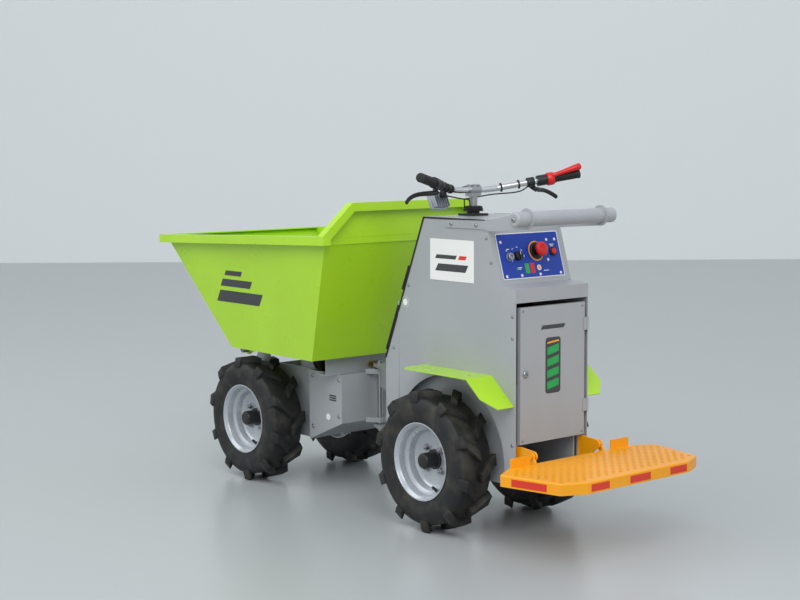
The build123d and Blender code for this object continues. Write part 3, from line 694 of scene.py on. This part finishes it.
cables = {
    "cable.left": ([onBar(176, 1, (15, 0, -10)), onBar(192, 1, (16, -2, -22)),
                    onBar(215, 1, (18, -12, -32)), spot(20, 130, 1186),
                    spot(32, 80, 1178), spot(42, 34, 1176), spot(42, 30, 1160), spot(42, 30, 1142)],
                    0.0025),
    "cable.right": ([onBar(176, -1, (15, 0, -10)), onBar(192, -1, (16, 2, -22)),
                     onBar(225, -1, (20, 6, -32)), spot(70, -110, 1190),
                     spot(86, -60, 1182), spot(88, -10, 1176), spot(76, 28, 1176), spot(72, 30, 1160),
                     spot(72, 30, 1142)],
                    0.0025),
}
for name, (points, radius) in cables.items():
    hose(name, points, radius, "rubber", "handlebar")
bm = bmesh.new()
lathe(bm, [(0.0002, 0.0201), (0.0002, 0.036), (0.003, 0.038), (0.0055, 0.0345), (0.009, 0.0365),
           (0.0115, 0.033), (0.015, 0.035),
           (0.019, 0.029), (0.0195, 0.0201)], 48, spot(57, 0, 1131.4), outward["up"], closed=True)
settle("columnBoot", bm, "rubber", "handlebar", 50)
for sign in (1, -1):
    for k, (dx, dz) in enumerate(((13, 6), (15, -3))):
        start = onBar(205, sign, (dx - 4, 0, dz))
        middle = onBar(270, sign, (dx, 0, dz))
        end = spot(57 + dx, sign * 60, 1208 + dz)
        hose(f"wire.{k}.{'left' if sign > 0 else 'right'}",
             [start, onBar(235, sign, (dx, 0, dz)), middle, end,
             spot(57 + dx + 8, sign * 18, 1216 + dz), spot(57 + dx + 8, 0, 1218 + dz)], 0.0017, "rubber",
             "handlebar")
bolts("clampBolts", [spot(44, y, 1227) for y in (-14, 14)] + [spot(70, y, 1227) for y in (-14, 14)],
      outward["up"], 0.004, "handlebar")
print("handlebar")

# ---- platform: perforated deck and tape
source = frame["nodes"]["platform"]
deck = bpy.data.objects.new("perforatedDeck", source.data.copy())
bpy.context.collection.objects.link(deck)
bm = bmesh.new()
outline = [(-440, 300), (-440, -300), (-490, -386), (-717, -336), (-757, -250), (-757, 250), (-717, 336),
           (-490, 386)]


def inset(x, y):
    depths = []
    for (ax, ay), (bx, by) in zip(outline, outline[1:] + outline[:1]):
        away = hypot(bx - ax, by - ay)
        depths.append(((bx - ax) * (y - ay) - (by - ay) * (x - ax)) / away)
    return min(depths) if sum(depths) > 0 else -max(depths)


for row in range(18):
    for column in range(40):
        x = -462 - 17 * row
        y = (column - 20) * 35 + (17.5 if row % 2 else 0)
        if inset(x, y) > 24:
            slab(bm, disc(7.2, 12), spot(x, y, 292), Vector((1, 0, 0)), Vector((0, 1, 0)), 0.014)
bmesh.ops.recalc_face_normals(bm, faces=bm.faces)
cutterMesh = bpy.data.meshes.new("cutter")
bm.to_mesh(cutterMesh)
bm.free()
cutter = bpy.data.objects.new("cutter", cutterMesh)
bpy.context.collection.objects.link(cutter)
bpy.ops.object.select_all(action="DESELECT")
deck.select_set(True)
bpy.context.view_layer.objects.active = deck
punch = deck.modifiers.new("holes", "BOOLEAN")
punch.operation = "DIFFERENCE"
punch.object = cutter
punch.solver = "FAST"
bpy.ops.object.modifier_apply(modifier=punch.name)
bpy.data.objects.remove(cutter)
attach(deck, "platform")
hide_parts("platform")
bm = bmesh.new()
edges = [((-490, 386), (-717, 336), (0.2, 0.78)), ((-757, 250), (-757, -250), (0.03, 0.2)),
         ((-757, 250), (-757, -250), (0.4, 0.6)), ((-757, 250), (-757, -250), (0.8, 0.97)),
         ((-717, -336), (-490, -386), (0.2, 0.78))]
for (ax, ay), (bx, by), (begin, end) in edges:
    a, b = Vector((ax, ay, 0)), Vector((bx, by, 0))
    along = (b - a).normalized()
    first, last = a.lerp(b, begin), a.lerp(b, end)
    normal = Vector((along.y, -along.x, 0))
    if normal.dot(first - Vector((-600, 0, 0))) < 0:
        normal = -normal
    origin = spot(first.x, first.y, 268) + normal * 0.0003
    slab(bm, [(0, 0), ((last - first).length, 0), ((last - first).length, 24), (0, 24)], origin, along,
         upward,
         0.0006 if along.cross(upward).dot(normal) > 0 else -0.0006)
settle("deckTape", bm, "tapeRed", "platform", 0)
print("platform")

# ---- front frame: bolts, louvre, fittings and a generic mark
for hand, sign in (("left", 1), ("right", -1)):
    out = outward[hand]
    bolts(f"frameBolts.{hand}", [spot(x, sign * 170, z, front) for x,
                                 z in ((-470, 455), (-300, 455), (-470, 310), (-300, 250))], out,
          0.007, "front_frame")
    bm = bmesh.new()
    for k in range(3):
        slab(bm, box(44, 5, 2, (0, -9 * k)), spot(-430, sign * 170, 388, front), Vector((-sign, 0, 0)),
             upward, 0.0008)
    settle(f"frameLouvre.{hand}", bm, "blackPlastic", "front_frame", 0)
    bolts(f"pivotBolts.{hand}", [spot(95, sign * 240, 525, front)], out, 0.011, "front_frame")
    stuck(f"frameMark.{hand}", "white", [disc(13, 24)], spot(-400, sign * 170.2, 300, front),
          Vector((-sign, 0, 0)), upward, "front_frame")
bm = bmesh.new()
for y in (-34, -12, 12):
    lathe(bm, [(0, 0.0001), (0, 0.011), (0.012, 0.011), (0.013, 0.008), (0.026, 0.008), (0.027, 0.0001)], 6,
          spot(-415, y, 505, front),
          outward["front"])
settle("beamFittings", bm, "brass", "front_frame", 30)
bm = bmesh.new()
for y in (-34, -12, 12):
    lathe(bm, [(0, 0.0001), (0, 0.009), (0.02, 0.009), (0.021, 0.0001)], 16, spot(-465, y, 505, front),
          outward["back"])
settle("beamGlands", bm, "brass", "front_frame", 30)
print("front frame")

# ---- studio
bpy.ops.object.select_all(action="DESELECT")
bpy.ops.mesh.primitive_plane_add(size=60, location=(0, 0, 0))
floor = bpy.context.active_object
floor.name = "floor"
board = Board("floorPale")
floor.data.materials.append(board.finish(Base_Color=colour("AEB2B4"), Roughness=0.28))
bpy.ops.mesh.primitive_plane_add(size=60, location=(9, -7.5, 15),
                                 rotation=(radians(90), 0, radians(-129.8)))
wall = bpy.context.active_object
wall.name = "wall"
board = Board("wallPale")
wall.data.materials.append(board.finish(Base_Color=colour("F4F7F8"), Roughness=0.85))
world = bpy.data.worlds.new("studio")
bpy.context.scene.world = world
world.use_nodes = True
world.node_tree.nodes["Background"].inputs["Color"].default_value = (0.93, 0.97, 1, 1)
world.node_tree.nodes["Background"].inputs["Strength"].default_value = 0.88
for place, size, power in (((-4, 3, 4.5), 4, 170), ((3, 4, 5), 5, 120)):
    bpy.ops.object.light_add(type="AREA", location=place)
    lamp = bpy.context.active_object
    lamp.data.size = size
    lamp.data.energy = power
    lamp.rotation_euler = (Vector((0, 0, 0.5)) - Vector(place)).to_track_quat("-Z", "Y").to_euler()
bpy.ops.object.camera_add(location=(-4.4191, 3.7456, 1.3880),
                          rotation=(radians(83.994), radians(0.280), radians(-129.826)))
camera = bpy.context.active_object
camera.data.lens = 68.187
bpy.context.scene.camera = camera
bpy.context.scene.view_settings.view_transform = "Standard"
